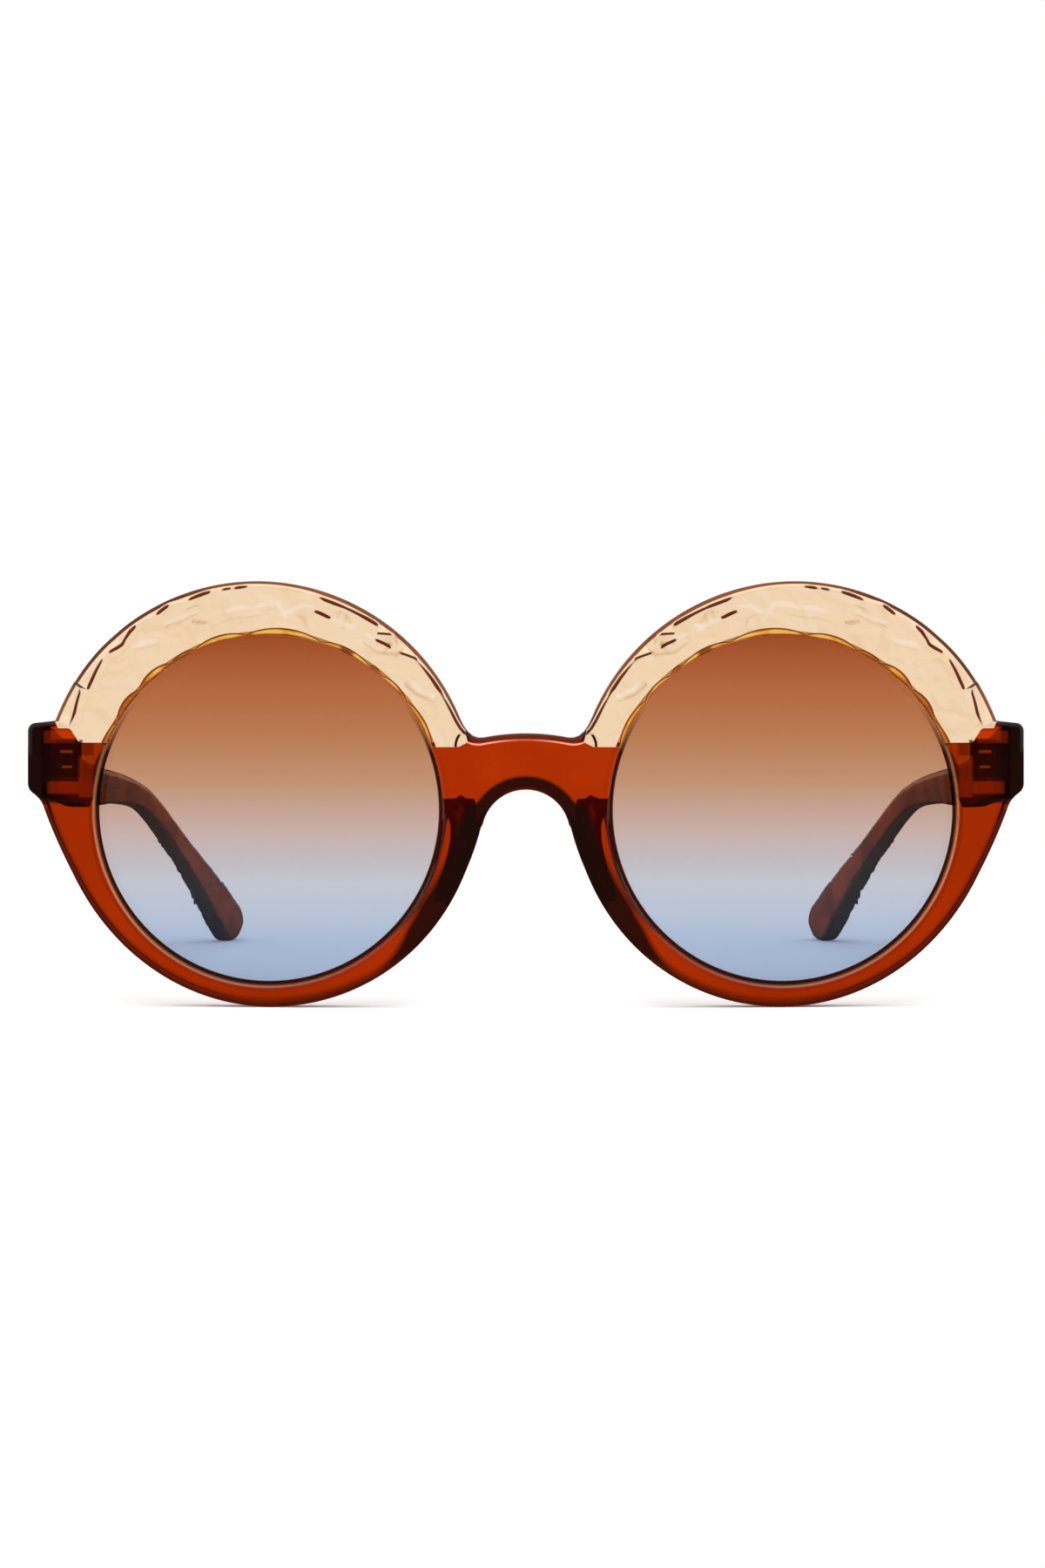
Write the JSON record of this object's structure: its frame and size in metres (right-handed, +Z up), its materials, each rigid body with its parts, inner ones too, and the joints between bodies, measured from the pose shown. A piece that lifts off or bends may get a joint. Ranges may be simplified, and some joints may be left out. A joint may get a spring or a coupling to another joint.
{
  "type": "round sunglasses",
  "caption": "Round two-tone acetate sunglasses with faceted brows, gradient lenses and folding temples.",
  "frame": {"origin": "middle of the opened sunglasses' footprint, on the surface that they stand on", "axes": "+Z up, the front faces -Y, the temples run back along +Y, +X is to the right of someone who looks at the front"},
  "size_m": [0.1448, 0.148, 0.0619],
  "materials": {
    "brown_acetate": "polished translucent brown acetate",
    "champagne_acetate": "polished clear champagne acetate with faint swirls",
    "gradient_lens": "tinted lens, amber at the top and pale blue grey at the bottom",
    "hinge_metal": "plated, satin",
    "screw_steel": "turned, bright",
    "core_wire_metal": "drawn wire, bright"
  },
  "bodies": {
    "front": {"front_frame": "brown_acetate", "brow_left": "champagne_acetate", "brow_right": "champagne_acetate", "lens_left": "gradient_lens", "lens_right": "gradient_lens", "nose_pad_left": "brown_acetate", "nose_pad_right": "brown_acetate", "front_hinge_left": "hinge_metal", "front_hinge_right": "hinge_metal", "hinge_screw_left": "screw_steel", "hinge_screw_right": "screw_steel"},
    "left_temple": {"temple_left": "brown_acetate", "temple_hinge_left": "hinge_metal", "core_wire_left": "core_wire_metal"},
    "right_temple": {"temple_right": "brown_acetate", "temple_hinge_right": "hinge_metal", "core_wire_right": "core_wire_metal"}
  },
  "joints": [
    {"name": "right_temple_fold", "type": "hinge", "parent": "front", "child": "right_temple", "pos_m": [0.0673, -0.06318, 0.03598], "axis": [0, 0, 1], "range_deg": [0, 84]},
    {"name": "left_temple_fold", "type": "hinge", "parent": "front", "child": "left_temple", "pos_m": [-0.0673, -0.06318, 0.03598], "axis": [0, 0, -1], "range_deg": [0, 74]}
  ]
}
